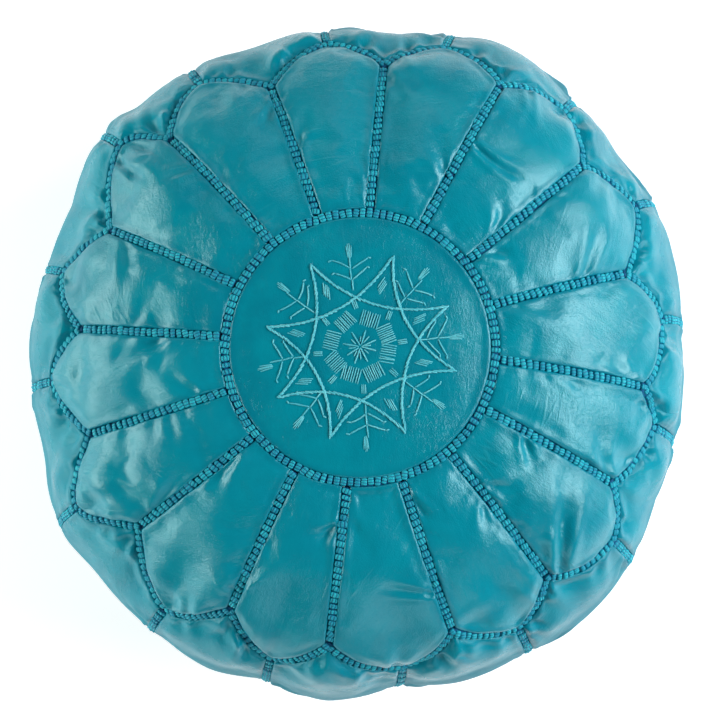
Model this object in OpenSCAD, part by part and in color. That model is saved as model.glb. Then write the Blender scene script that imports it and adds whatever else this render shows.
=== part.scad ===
/* [Body] */
// Width at the belly, over the leather
pouf_d = 516; // [500:2:530]
// Height from the floor to the crown
pouf_h = 328; // [310:2:350]
// Height of the widest point above the floor
belly_z = 150; // [140:2:165]
// Squareness of the curve from the belly up to the crown, where 2 is an ellipse
crown_power = 2.6; // [2.4:0.1:2.8]
// Squareness of the curve from the belly down to the floor
heel_power = 2.2; // [2:0.1:2.4]
// Diameter of the flat that rests on the floor
foot_d = 344; // [340:2:352]

/* [Leather panels] */
// Thickness of the goat leather
leather_t = 1.6; // [1.2:0.1:2]
// Petals round the crown, and side panels below them
petals = 16; // [14:1:18]
// Direction of the first joint between petals, degrees from +X
first_joint = 17.5; // [0:0.5:22]
// Diameter of the medallion, at the middle of its seam
medallion_d = 198; // [180:2:210]
// Plan diameter where two petals and a side panel meet
valley_d = 428; // [420:2:434]
// Plan diameter at the tips of the petals
tip_d = 472; // [466:2:480]
// Shape of a petal's outer end, from 1 for pointed to 2 for round
petal_power = 1.4; // [1.2:0.1:1.8]
// Height of the seam between side panels and base
base_seam_z = 6; // [5:0.5:8]

/* [Stitching] */
// Width of the hand-sewn seams
seam_w = 8.4; // [6:0.2:9]
// How far the seams stand up
seam_t = 2; // [1:0.2:2.4]
// Radius of the embroidered star's points
star_r = 70.6; // [60:0.2:76]
// Turn of the star, degrees from the panel pattern's zero
star_turn = 29; // [0:1:45]

/* [Zip] */
// Length of the row of teeth
zip_len = 254; // [220:2:254]
// Distance between teeth on one side
tooth_pitch = 3; // [2.8:0.1:3.4]
// Length of the pull tab, from its pivot
tab_len = 26; // [20:1:28]

/* [Hidden] */
$fn = 96;
leather_colour = [0.04, 0.55, 0.62];
seam_colour = [0.03, 0.44, 0.58];
thread_colour = [0.45, 0.82, 0.80];
brass_colour = [0.72, 0.58, 0.30];
tape_colour = [0.05, 0.42, 0.50];
cotton_colour = [0.90, 0.87, 0.80];

belly_r = pouf_d / 2;
foot_r = foot_d / 2;
crown_rise = pouf_h - belly_z;
sector = 360 / petals;
// Half of the gap between two pieces of leather, in mm along the profile and in degrees round it
edge_gap = 0.5;
turn_gap = 0.2;
// The profile is drawn with straight runs of this many degrees, shared by every layer
profile_step = 3.75;
// Air between the layers, so that the solids of neighbouring layers stay apart
layer_air = 0.3;
seam_lift = 0.5;
liner_t = 0.8;
liner_depth = leather_t + layer_air;
filling_depth = liner_depth + liner_t + layer_air;

// The zip lies in a shallow trough in the base, so that nothing of it reaches the floor
lip_z = 7.5;
lip_half_w = 18;
lip_half_l = 148;
trough_half_w = 42;
trough_half_l = 164;
slot_half_w = 6.5;
slot_half_l = 136;
tape_half_l = 141;
tape_t = 0.6;
tape_z = lip_z + leather_t + 0.1;
tape_outer_x = 17;
tooth_z0 = tape_z + tape_t / 2 - 1.3;
tooth_z1 = tape_z + tape_t / 2 + 1.3;
tooth_x0 = 0.9;
tooth_x1 = 4.2;
tape_inner_x = 2;
// Slider, placed at the closed end
slider_y = 121;
slider_half_l = 7;
slider_half_w = 5.2;
plate_t = 1.3;
plate_gap = 0.3;
front_plate_z = tooth_z0 - plate_gap - plate_t;
back_plate_z = tooth_z1 + plate_gap;
pivot_r = 0.65;
pivot_z = front_plate_z - 1.4;
lug_z = front_plate_z - 3.6;
tab_t = 1.2;
stop_l = 3;
stop_z0 = tooth_z0 - 0.6;
stop_z1 = tooth_z1 + 0.6;

function two(i) = i < 10 ? str("0", i) : str(i);
PETALS = [for (i = [1:petals]) str("petal_", two(i))];
SIDES = [for (i = [1:petals]) str("side_panel_", two(i))];

// ---- Profile: q runs from 0 at the crown, through 90 at the belly, to 180 at the rim of the foot ----

function skin(q) = q <= 90
    ? [belly_r * pow(sin(q), 2 / crown_power), belly_z + crown_rise * pow(cos(q), 2 / crown_power)]
    : [foot_r + (belly_r - foot_r) * pow(cos(q - 90), 2 / heel_power),
       belly_z * (1 - pow(sin(q - 90), 2 / heel_power))];

function unit(v) = v / norm(v);
function skin_normal(q) =
    let (t = unit(skin(min(q + 0.25, 180)) - skin(max(q - 0.25, 0)))) [-t[1], t[0]];
function raised(q, d) = q == 0 ? [0, pouf_h + d] : skin(q) + d * skin_normal(q);

// A point of the drawn profile, d outside the leather's outer face
function skin_at(q, d) =
    let (k = min(floor(q / profile_step), 180 / profile_step - 1), f = q / profile_step - k)
    (1 - f) * raised(k * profile_step, d) + f * raised((k + 1) * profile_step, d);

function grid_between(q0, q1) =
    [for (k = [0:180 / profile_step]) if (k * profile_step > q0 + 0.01 && k * profile_step < q1 - 0.01)
        k * profile_step];
function reversed(list) = [for (i = [len(list) - 1:-1:0]) list[i]];

// The outline of a layer from q0 to q1, between d_in and d_out from the leather's outer face
function layer(q0, q1, d_in, d_out) =
    let (qs = concat([q0], grid_between(q0, q1), [q1]))
    concat([for (q = qs) skin_at(q, d_out)], [for (q = reversed(qs)) skin_at(q, d_in)]);

// Profile positions of the seams
function crown_q(r) = asin(pow(r / belly_r, crown_power / 2));
function heel_q(z) = 90 + asin(pow(1 - z / belly_z, heel_power / 2));
function q_per_mm(q) = 1 / norm(skin(q + 0.5) - skin(q - 0.5));
ring_q = crown_q(medallion_d / 2);
valley_q = crown_q(valley_d / 2);
tip_q = crown_q(tip_d / 2);
base_q = heel_q(base_seam_z);

// The scalloped edge, for t from 0 at one valley through 0.5 at the tip to 1 at the next
function scallop_q(t) = tip_q - (tip_q - valley_q) * pow(abs(2 * t - 1), petal_power);
function scallop_r(t) = skin_at(scallop_q(t), 0)[0];
function polar(r, a) = [r * cos(a), r * sin(a)];
// A point of the profile, turned round the axis
function turned(p, a) = [p[0] * cos(a), p[0] * sin(a), p[1]];

// ---- Shared shapes ----

// A piece of leather, turned through part of a circle
module turned_leather(q0, q1, a0, a1) {
    rotate([0, 0, a0]) rotate_extrude(angle = a1 - a0) polygon(layer(q0, q1, -leather_t, 0));
}

// The plan of one petal's sector, out to the scalloped edge moved by shift
module petal_plan(shift, t0, t1) {
    steps = 12;
    polygon(concat([[0, 0]],
        [for (i = [0:steps]) let (t = t0 + (t1 - t0) * i / steps)
            polar(scallop_r(t) + shift, t * sector)]));
}

// A block whose sides slope in from its foot to its top
module sloped_block(foot_w, foot_l, top_w, top_l, z0, z1) {
    corners = [[-1, -1], [1, -1], [1, 1], [-1, 1]];
    polyhedron(
        points = concat([for (c = corners) [c[0] * foot_w, c[1] * foot_l, z0]],
                        [for (c = corners) [c[0] * top_w, c[1] * top_l, z1]]),
        faces = concat([[0, 1, 2, 3], [7, 6, 5, 4]],
                       [for (i = [0:3]) let (j = (i + 1) % 4) [i + 4, j + 4, j, i]]));
}

// The trough in the base, raised by rise; its foot carries on a little way below the floor
module trough(rise) {
    below = rise > 0 ? 0 : 1.5;
    grow_w = (trough_half_w - lip_half_w) * below / lip_z;
    grow_l = (trough_half_l - lip_half_l) * below / lip_z;
    sloped_block(trough_half_w + grow_w, trough_half_l + grow_l, lip_half_w, lip_half_l,
        rise - below, lip_z + rise);
}

// A flat stitched band on the turned surface, from q0 to q1 all the way round
module ring_band(q0, q1) {
    bevel = 1 * q_per_mm(q0);
    rotate_extrude() polygon([skin_at(q0, seam_lift), skin_at(q1, seam_lift),
        skin_at(q1 - bevel, seam_lift + seam_t), skin_at(q0 + bevel, seam_lift + seam_t)]);
}

// A flat stitched band that runs down the surface from q0 to q1, in the plane at angle 0
module down_band(q0, q1) {
    intersection() {
        rotate([0, 0, -5]) rotate_extrude(angle = 10)
            polygon(layer(q0, q1, seam_lift, seam_lift + seam_t));
        translate([0, -seam_w / 2, -5]) cube([belly_r + 20, seam_w, pouf_h + 20]);
    }
}

// A stitched band through a list of [q, angle] points on the surface that closes on itself
module closed_band(path) {
    n = len(path);
    at = [for (p = path) turned(skin_at(p[0], seam_lift), p[1])];
    up = [for (p = path) turned(skin_normal(p[0]), p[1])];
    side = [for (i = [0:n - 1])
        let (before = unit(cross(up[i], at[i] - at[(i + n - 1) % n])),
             after = unit(cross(up[i], at[(i + 1) % n] - at[i])),
             mitre = before + after)
        mitre / (mitre * before) * seam_w / 2];
    rings = [for (i = [0:n - 1]) each [
        at[i] + side[i], at[i] - side[i],
        at[i] - 0.75 * side[i] + up[i] * seam_t, at[i] + 0.75 * side[i] + up[i] * seam_t]];
    faces = [for (i = [0:n - 1], k = [0:3])
        let (j = (i + 1) % n, m = (k + 1) % 4,
             a = 4 * i + k, b = 4 * i + m, c = 4 * j + m, d = 4 * j + k)
        each [[a, b, c], [a, c, d]]];
    polyhedron(points = rings, faces = faces);
}

// ---- Leather panels ----

module medallion() {
    color(leather_colour) rotate_extrude()
        polygon(layer(0, ring_q - edge_gap * q_per_mm(ring_q), -leather_t, 0));
}

module petal(i) {
    start = first_joint + (i - 1) * sector;
    color(leather_colour) rotate([0, 0, start]) intersection() {
        turned_leather(ring_q + edge_gap * q_per_mm(ring_q), tip_q + 1, turn_gap, sector - turn_gap);
        translate([0, 0, belly_z]) linear_extrude(crown_rise + 10) petal_plan(-edge_gap, 0, 1);
    }
}

module side_panel(i) {
    start = first_joint + (i - 1.5) * sector;
    color(leather_colour) rotate([0, 0, start]) difference() {
        turned_leather(valley_q, base_q - edge_gap * q_per_mm(base_q), turn_gap, sector - turn_gap);
        translate([0, 0, belly_z]) linear_extrude(crown_rise + 10) {
            rotate([0, 0, -sector / 2]) petal_plan(edge_gap, 0.4, 1.001);
            rotate([0, 0, sector / 2]) petal_plan(edge_gap, -0.001, 0.6);
        }
    }
}

// The base is a shallow dish in two halves, lifted along the middle to make room for the zip
module base_half(side) {
    rim_q = base_q + edge_gap * q_per_mm(base_q);
    qs = concat([rim_q], grid_between(rim_q, 180));
    dish = concat([[0, 0], [foot_r, 0]],
                  [for (q = reversed(qs)) skin_at(q, 0)],
                  [for (q = qs) skin_at(q, -leather_t)],
                  [[foot_r, leather_t], [0, leather_t]]);
    color(leather_colour) intersection() {
        difference() {
            union() {
                rotate_extrude() polygon(dish);
                trough(leather_t);
            }
            trough(0);
            translate([-slot_half_w, -slot_half_l, 0])
                cube([2 * slot_half_w, 2 * slot_half_l, lip_z + 10]);
        }
        translate([side > 0 ? edge_gap : -belly_r - edge_gap, -belly_r, -1])
            cube([belly_r, pouf_d, 40]);
    }
}

// ---- Seams ----

module seam_medallion_ring() {
    half = seam_w / 2 * q_per_mm(ring_q);
    color(seam_colour) ring_band(ring_q - half, ring_q + half);
}

module seam_petal_joints() {
    q0 = ring_q + (seam_w / 2 + 0.5) * q_per_mm(ring_q);
    q1 = valley_q - 9 * q_per_mm(valley_q);
    color(seam_colour) for (i = [0:petals - 1])
        rotate([0, 0, first_joint + i * sector]) down_band(q0, q1);
}

module seam_scalloped_edge() {
    steps = 12;
    color(seam_colour) closed_band([for (i = [0:petals - 1], k = [0:steps - 1])
        [scallop_q(k / steps), first_joint + (i + k / steps) * sector]]);
}

module seam_side_joints() {
    q0 = tip_q + 7 * q_per_mm(tip_q);
    q1 = base_q - (seam_w / 2 + 0.5) * q_per_mm(base_q);
    color(seam_colour) for (i = [0:petals - 1])
        rotate([0, 0, first_joint + (i + 0.5) * sector]) down_band(q0, q1);
}

module seam_base_ring() {
    half = seam_w / 2 * q_per_mm(base_q);
    color(seam_colour) ring_band(base_q - half, base_q + half);
}

// ---- Embroidery on the medallion ----

function crown_z(r) = belly_z + crown_rise * pow(1 - pow(r / belly_r, crown_power), 1 / crown_power);

// One straight stitch between two plan points, tilted to follow the dome
module stitch(a, b, w = 1) {
    t = 0.6;
    za = crown_z(norm(a));
    zb = crown_z(norm(b));
    run = b - a;
    translate([(a[0] + b[0]) / 2, (a[1] + b[1]) / 2, (za + zb) / 2 + t / 2 + 0.25])
        rotate([0, -atan2(zb - za, norm(run)), atan2(run[1], run[0])])
            cube([norm(run), w, t], center = true);
}

// A side of the star: a shallow arc that bows in towards the middle between two points
module star_side() {
    bow_r = 92.5;
    bow_centre = star_r / 2 + bow_r;
    reach = asin(star_r * sin(45) / bow_r);
    stitches = 20;
    for (i = [0:stitches - 1]) {
        a0 = -reach + 2 * reach * (i + 0.06) / stitches;
        a1 = -reach + 2 * reach * (i + 0.94) / stitches;
        stitch([bow_centre, 0] - polar(bow_r, a0), [bow_centre, 0] - polar(bow_r, a1));
    }
}

// A sprig on the axis: stem, two pairs of bent twigs and a bud of three stitches
module sprig() {
    stitch([42, 0], [65, 0]);
    for (side = [-1, 1], out = [49, 57]) {
        stitch([out, 1.2 * side], [out + 5, 8 * side]);
        stitch([out + 5.4, 8.5 * side], [out + 5.4, 9.6 * side]);
    }
    for (y = [-1.7, 0, 1.7]) stitch([67, y], [76 - abs(y), y]);
}

// A patch of side-by-side stitches, centred on the axis at radius r
module patch(r, count, gap, length) {
    for (i = [0:count - 1]) {
        y = (i - (count - 1) / 2) * gap;
        stitch([r - length / 2, y], [r + length / 2, y], 0.9);
    }
}

module medallion_embroidery() {
    color(thread_colour) rotate([0, 0, star_turn]) {
        for (k = [0:7]) rotate([0, 0, 45 * k + 45]) star_side();
        for (k = [0:7]) rotate([0, 0, 45 * k + 22.5]) {
            sprig();
            patch(30, 3, 2, 5);
        }
        for (k = [0:7]) rotate([0, 0, 45 * k]) {
            patch(49, 3, 2, 8);
            patch(20, 6, 2, 11);
            stitch([1.2, 0], [11, 0]);
        }
        for (k = [0:7]) rotate([0, 0, 45 * k + 22.5]) stitch([4.5, 0], [10.5, 0]);
    }
}

// ---- Zip ----

module zip_tape(side) {
    color(tape_colour)
        translate([side > 0 ? tape_inner_x : -tape_outer_x, -tape_half_l, tape_z])
            cube([tape_outer_x - tape_inner_x, 2 * tape_half_l, tape_t]);
}

// A row of teeth that grip the edge of the tape; the right row stands half a pitch on from the left
module zip_teeth(side) {
    count = floor(zip_len / tooth_pitch);
    first = -(count - 0.5) * tooth_pitch / 2 + (side > 0 ? tooth_pitch / 2 : 0);
    tooth_l = 1.7;
    color(brass_colour) difference() {
        for (i = [0:count - 1])
            translate([side > 0 ? tooth_x0 : -tooth_x1, first + i * tooth_pitch - tooth_l / 2, tooth_z0])
                cube([tooth_x1 - tooth_x0, tooth_l, tooth_z1 - tooth_z0]);
        zip_tape(side);
    }
}

module zip_top_stops() {
    color(brass_colour) difference() {
        for (side = [-1, 1])
            translate([side > 0 ? tooth_x0 : -tooth_x1, slider_y + slider_half_l + 0.5, stop_z0])
                cube([tooth_x1 - tooth_x0, stop_l, stop_z1 - stop_z0]);
        zip_tape(-1);
        zip_tape(1);
    }
}

module zip_bottom_stop() {
    color(brass_colour) difference() {
        translate([-tooth_x1, -slider_y - slider_half_l - 0.5 - stop_l, stop_z0])
            cube([2 * tooth_x1, stop_l, stop_z1 - stop_z0]);
        zip_tape(-1);
        zip_tape(1);
    }
}

// Two rows of machine stitching on each side of the zip, and one across each end
module zip_stitching() {
    rise = 0.4;
    half_l = slot_half_l + 3;
    color(thread_colour) translate([0, 0, lip_z - rise - 0.1]) {
        for (side = [-1, 1], x = [9, 15])
            translate([side * x - 0.4, -half_l, 0]) cube([0.8, 2 * half_l, rise]);
        for (end = [-1, 1], side = [-1, 1])
            translate([side > 0 ? 1 : -8.4, end * half_l - 0.4, 0]) cube([7.4, 0.8, rise]);
    }
}

// A thick tack of thread that holds the two halves of the base together past each end of the zip
module zip_end_tacks() {
    tack = [8, 5, 0.8];
    color(thread_colour) for (end = [-1, 1])
        translate([0, end * (slot_half_l + 8), lip_z - 0.2 - tack[2] / 2]) cube(tack, center = true);
}

// One of the slider's two plates, with its nose towards +Y
module slider_plate() {
    hull() {
        translate([0, 3, 0]) cylinder(r = slider_half_w - 1.2, h = plate_t);
        for (x = [-1, 1], y = [-slider_half_l + 1, 2])
            translate([x * (slider_half_w - 1), y, 0]) cylinder(r = 1, h = plate_t, $fn = 24);
        translate([0, slider_half_l - 1, 0]) cylinder(r = 1, h = plate_t, $fn = 24);
    }
}

module zip_slider() {
    flange_z = tape_t / 2 + 0.2;
    middle = tape_z + tape_t / 2;
    color(brass_colour) translate([0, slider_y, 0]) {
        translate([0, 0, front_plate_z]) slider_plate();
        translate([0, 0, back_plate_z]) slider_plate();
        // The post between the plates, at the nose
        translate([-0.6, 2.5, front_plate_z]) cube([1.2, 4, back_plate_z + plate_t - front_plate_z]);
        // Flanges that hold the teeth in, with a gap for each tape
        for (side = [-1, 1])
            translate([side > 0 ? tooth_x1 + 0.3 : -slider_half_w, -slider_half_l + 1, 0]) {
                wall = slider_half_w - tooth_x1 - 0.3;
                translate([0, 0, front_plate_z])
                    cube([wall, 9, middle - flange_z - front_plate_z]);
                translate([0, 0, middle + flange_z])
                    cube([wall, 9, back_plate_z + plate_t - middle - flange_z]);
            }
        // The lug that carries the tab
        translate([-0.8, 0, 0]) rotate([90, 0, 90]) linear_extrude(1.6) polygon([
            [-4.4, front_plate_z + 0.2], [-3.4, lug_z], [3.4, lug_z], [4.4, front_plate_z + 0.2],
            [3, front_plate_z + 0.2], [2.6, lug_z + 1.1], [-2.6, lug_z + 1.1],
            [-3, front_plate_z + 0.2]]);
    }
}

module zip_pull_tab() {
    arm_x = 1.1;
    arm_w = 1.4;
    web_y = 5;
    outer_x = arm_x + arm_w;
    color(brass_colour) translate([0, slider_y, pivot_z]) {
        rotate([0, 90, 0]) cylinder(r = pivot_r, h = 2 * outer_x, center = true, $fn = 32);
        for (side = [-1, 1]) translate([side > 0 ? arm_x : -outer_x, -web_y - 0.5, -tab_t / 2])
            cube([arm_w, web_y + 0.5 + pivot_r, tab_t]);
        translate([0, 0, -tab_t / 2]) linear_extrude(tab_t) polygon(concat(
            [[-outer_x, -web_y], [outer_x, -web_y]],
            [for (a = [0:-15:-180]) [3.4 * cos(a), -tab_len + 3.4 + 3.4 * sin(a)]]));
    }
}

// ---- Inside ----

// What fills the cover at a depth d, pressed up over the trough and the zip with rise to spare
module stuffed_shape(d, rise) {
    qs = concat([0], grid_between(0, 180), [180]);
    difference() {
        rotate_extrude() polygon(concat([for (q = qs) skin_at(q, -d)], [[0, d]]));
        sloped_block(trough_half_w + 15 + rise, trough_half_l + 18 + rise,
            lip_half_w + 2 + rise, lip_half_l + 14 + rise,
            1, back_plate_z + plate_t + 1 + rise);
    }
}

module liner_bag() {
    color(cotton_colour) difference() {
        stuffed_shape(liner_depth, 0);
        stuffed_shape(liner_depth + liner_t, liner_t);
    }
}

module filling() {
    color(cotton_colour) stuffed_shape(filling_depth, filling_depth - liner_depth);
}

medallion();
medallion_embroidery();
for (i = [1:petals]) {
    petal(i);
    side_panel(i);
}
base_half(-1);  // base_half_left
base_half(1);  // base_half_right
seam_medallion_ring();
seam_petal_joints();
seam_scalloped_edge();
seam_side_joints();
seam_base_ring();
zip_tape(-1);  // zip_tape_left
zip_tape(1);  // zip_tape_right
zip_teeth(-1);  // zip_teeth_left
zip_teeth(1);  // zip_teeth_right
zip_top_stops();
zip_bottom_stop();
zip_stitching();
zip_end_tacks();
zip_slider();
zip_pull_tab();
liner_bag();
filling();
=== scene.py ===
import math

import bpy
import numpy as np
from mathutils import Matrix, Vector


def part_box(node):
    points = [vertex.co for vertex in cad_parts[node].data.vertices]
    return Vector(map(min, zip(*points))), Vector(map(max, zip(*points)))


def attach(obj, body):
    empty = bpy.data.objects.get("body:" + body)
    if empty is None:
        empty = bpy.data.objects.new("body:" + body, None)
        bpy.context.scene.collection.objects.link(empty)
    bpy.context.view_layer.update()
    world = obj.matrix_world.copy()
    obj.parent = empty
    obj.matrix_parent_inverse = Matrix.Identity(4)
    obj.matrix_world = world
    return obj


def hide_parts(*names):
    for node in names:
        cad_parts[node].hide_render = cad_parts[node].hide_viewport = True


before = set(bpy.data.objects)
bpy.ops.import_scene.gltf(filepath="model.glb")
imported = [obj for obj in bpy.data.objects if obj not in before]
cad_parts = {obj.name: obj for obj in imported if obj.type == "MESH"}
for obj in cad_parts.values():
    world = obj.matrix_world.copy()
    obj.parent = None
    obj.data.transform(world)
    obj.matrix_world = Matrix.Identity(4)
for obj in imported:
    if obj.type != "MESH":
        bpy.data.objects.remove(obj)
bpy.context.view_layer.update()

# Everything is in metres, in the CAD's frame. A name that ends in _MM or _mm is in millimetres.
MM = 0.001
RANDOM = np.random.default_rng(16)

# ---------------------------------------------------------------- sizes and the body's side view

PETALS = 16
SECTOR = 2 * math.pi / PETALS
FIRST_JOINT = math.radians(17.5)
# How square the side view is at the crown and the heel, and how blunt a petal's end is
CROWN_POWER = 2.6
HEEL_POWER = 2.2
PETAL_POWER = 1.4
LEATHER = 1.4 * MM

petal_names = [f"petal_{i:02d}" for i in range(1, PETALS + 1)]
side_names = [f"side_panel_{i:02d}" for i in range(1, PETALS + 1)]
CROWN_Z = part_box("medallion")[1].z
BELLY_R = max(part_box(name)[1].x for name in side_names)
BELLY_Z = 150 * MM
FOOT_R = 172 * MM
RING_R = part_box("medallion")[1].x + 0.6 * MM
VALLEY_R = 214 * MM
TIP_R = 236 * MM
BASE_SEAM_Z = 6 * MM


def profile_table(fine_steps=14401, even_steps=6001):
    """The body's side view, evenly down from the crown: length, r, z and the outward normal's r and z."""
    q = np.radians(np.linspace(0, 180, fine_steps))
    upper, lower = np.minimum(q, math.pi / 2), np.maximum(q - math.pi / 2, 0)
    on_top = q <= math.pi / 2
    r = np.where(on_top, BELLY_R * np.sin(upper) ** (2 / CROWN_POWER),
                 FOOT_R + (BELLY_R - FOOT_R) * np.cos(lower) ** (2 / HEEL_POWER))
    z = np.where(on_top, BELLY_Z + (CROWN_Z - BELLY_Z) * np.abs(np.cos(upper)) ** (2 / CROWN_POWER),
                 BELLY_Z * (1 - np.sin(lower) ** (2 / HEEL_POWER)))
    length = np.concatenate([[0], np.cumsum(np.hypot(np.diff(r), np.diff(z)))])
    even = np.linspace(0, length[-1], even_steps)
    r, z = np.interp(even, length, r), np.interp(even, length, z)
    dr, dz = np.gradient(r, even), np.gradient(z, even)
    size = np.hypot(dr, dz)
    return even, r, z, -dz / size, dr / size


LENGTHS, RADII, HEIGHTS, NORMAL_R, NORMAL_Z = profile_table()
BELLY_INDEX = int(np.argmax(RADII))
CROWN_SIDE = slice(0, BELLY_INDEX)


def length_at_radius(r):
    """How far down the skin from the crown the radius r is, above the belly."""
    return np.interp(r, RADII[CROWN_SIDE], LENGTHS[CROWN_SIDE])


S_RING = float(length_at_radius(RING_R))
S_VALLEY = float(length_at_radius(VALLEY_R))
S_TIP = float(length_at_radius(TIP_R))
S_BASE = float(np.interp(BASE_SEAM_Z, HEIGHTS[::-1], LENGTHS[::-1]))


def skin_point(s, angle, out=0.0):
    """A point on the smooth body, s down from the crown, raised out of it by out."""
    r = np.interp(s, LENGTHS, RADII) + out * np.interp(s, LENGTHS, NORMAL_R)
    z = np.interp(s, LENGTHS, HEIGHTS) + out * np.interp(s, LENGTHS, NORMAL_Z)
    return np.stack([r * np.cos(angle), r * np.sin(angle), z], -1)


def skin_normal(s, angle):
    nr, nz = np.interp(s, LENGTHS, NORMAL_R), np.interp(s, LENGTHS, NORMAL_Z)
    return np.stack([nr * np.cos(angle), nr * np.sin(angle), nz], -1)


def scallop_length(t):
    """Where the scalloped edge is, for t counted in sectors from the first joint."""
    t = t % 1
    return S_TIP - (S_TIP - S_VALLEY) * np.abs(2 * t - 1) ** PETAL_POWER


# ---------------------------------------------------------------- small numeric helpers


def smooth(low, high, x):
    t = np.clip((x - low) / (high - low), 0, 1)
    return t * t * (3 - 2 * t)


def bell(x, width):
    return np.exp(-(x / width) ** 2)


def unit(v):
    return v / np.maximum(np.linalg.norm(v, axis=-1, keepdims=True), 1e-12)


def beside_line(ahead, ups):
    """The directions sideways from a line and up from it."""
    side = unit(np.cross(ups, ahead))
    return side, unit(np.cross(ahead, side))


def turned_plan(points, angle):
    """Plan points (x, y), turned about the origin."""
    c, s = math.cos(angle), math.sin(angle)
    points = np.asarray(points, float)
    return np.stack([points[..., 0] * c - points[..., 1] * s, points[..., 0] * s + points[..., 1] * c], -1)


def cubic_weights(f):
    """Catmull-Rom weights of the four grid points round a fraction f."""
    return [(-f + 2 * f ** 2 - f ** 3) / 2, (2 - 5 * f ** 2 + 3 * f ** 3) / 2,
            (f + 4 * f ** 2 - 3 * f ** 3) / 2, (f ** 3 - f ** 2) / 2]


def sample(grid, row, col):
    """A smooth grid's value at fractional rows and columns. The columns go round."""
    row0, col0 = np.floor(row).astype(int), np.floor(col).astype(int)
    total = 0
    for i, row_weight in enumerate(cubic_weights(row - row0)):
        rows = np.clip(row0 + i - 1, 0, grid.shape[0] - 1)
        for j, col_weight in enumerate(cubic_weights(col - col0)):
            columns = (col0 + j - 1) % grid.shape[1]
            total = total + (row_weight * col_weight)[..., None] * grid[rows, columns]
    return total


def grid_normals(points):
    """Outward normals of a grid whose rows run down the body and whose columns run round it."""
    down, round_it = np.gradient(points, axis=0), np.gradient(points, axis=1)
    return unit(np.cross(down, round_it))


def lattice_noise(points, cell, seed, size=16):
    """Smooth noise from -1 to 1 in space, with features about cell wide. It repeats after size cells."""
    table = np.random.default_rng(seed).uniform(-1, 1, (size, size, size))
    # The half cell keeps the body's middle off the lattice
    place = np.asarray(points) / cell + 100.5
    corner = np.floor(place).astype(int)
    part = place - corner
    part = part * part * (3 - 2 * part)
    total = 0
    for step in np.ndindex(2, 2, 2):
        weight = np.where(step, part, 1 - part).prod(-1)
        x, y, z = np.moveaxis((corner + step) % size, -1, 0)
        total = total + weight * table[x, y, z]
    return total


# ---------------------------------------------------------------- meshes


def make_object(name, vertices, faces, materials, face_material=None, attributes=None, uv=None):
    mesh = bpy.data.meshes.new(name)
    mesh.from_pydata(np.asarray(vertices, float).reshape(-1, 3).tolist(), [], faces)
    mesh.polygons.foreach_set("use_smooth", [True] * len(mesh.polygons))
    for material in materials:
        mesh.materials.append(material)
    if face_material is not None:
        mesh.polygons.foreach_set("material_index", face_material)
    for key, values in (attributes or {}).items():
        layer = mesh.attributes.new(key, "FLOAT", "POINT")
        layer.data.foreach_set("value", np.asarray(values, np.float32).ravel())
    if uv is not None:
        layer = mesh.uv_layers.new(name="cut")
        loops = np.zeros(len(mesh.loops), np.int32)
        mesh.loops.foreach_get("vertex_index", loops)
        layer.data.foreach_set("uv", np.asarray(uv, np.float32)[loops].ravel())
    mesh.validate()
    mesh.update()
    piece = bpy.data.objects.new(name, mesh)
    bpy.context.scene.collection.objects.link(piece)
    return piece


def grid_faces(rows, cols, start=0, wrap=False, flip=False):
    i, j = np.meshgrid(np.arange(rows - 1), np.arange(cols if wrap else cols - 1), indexing="ij")
    next_j = (j + 1) % cols
    quads = np.stack([i * cols + j, (i + 1) * cols + j, (i + 1) * cols + next_j, i * cols + next_j], -1)
    quads = quads.reshape(-1, 4) + start
    return (quads[:, ::-1] if flip else quads).tolist()


def rim_faces(ring, offset):
    """Walls between a closed ring of vertices and the same ring offset further on in the list."""
    after = np.roll(ring, -1)
    return np.stack([ring, after, after + offset, ring + offset], -1).tolist()


def grid_rim(rows, cols):
    """The vertices round a grid's edge, in an order that makes walls face outwards."""
    top, right = np.arange(cols - 1), np.arange(rows - 1) * cols + cols - 1
    bottom, left = (rows - 1) * cols + np.arange(cols - 1, 0, -1), np.arange(rows - 1, 0, -1) * cols
    return np.concatenate([top, right, bottom, left])


def cap(first, count, flip):
    """One face over a ring of count vertices."""
    ring = list(range(first, first + count))
    return [ring[::-1] if flip else ring]


def tube_faces(rows, cols, start=0, flip=False):
    """A closed tube: its wall, and a cap at each end."""
    return (grid_faces(rows, cols, start, wrap=True, flip=flip) + cap(start, cols, flip)
            + cap(start + (rows - 1) * cols, cols, not flip))


def slab_faces(rows, cols):
    """A closed slab between two grids that follow each other in the list of vertices."""
    count = rows * cols
    return (grid_faces(rows, cols) + grid_faces(rows, cols, count, flip=True)
            + rim_faces(grid_rim(rows, cols), count))


def both_sides(outer, inner):
    return np.concatenate([outer.reshape(-1, 3), inner.reshape(-1, 3)])


def leather_sheet(name, outer, inner, seam_distance, tint, uv, look, faces=None):
    """A closed sheet of leather between two grids of the same shape."""
    rows, cols = outer.shape[:2]
    attributes = {"seam_distance": np.tile(seam_distance.ravel(), 2), "tint": np.full(2 * rows * cols, tint)}
    return make_object(name, both_sides(outer, inner), faces or slab_faces(rows, cols), [look],
                       attributes=attributes, uv=np.tile(uv.reshape(-1, 2), (2, 1)))


# ---------------------------------------------------------------- materials


def colour(red, green, blue):
    """A screen colour, 0 to 255, as the renderer's linear colour."""
    parts = [c / 255 for c in (red, green, blue)]
    return tuple(c / 12.92 if c <= 0.04045 else ((c + 0.055) / 1.055) ** 2.4 for c in parts) + (1.0,)


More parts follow.
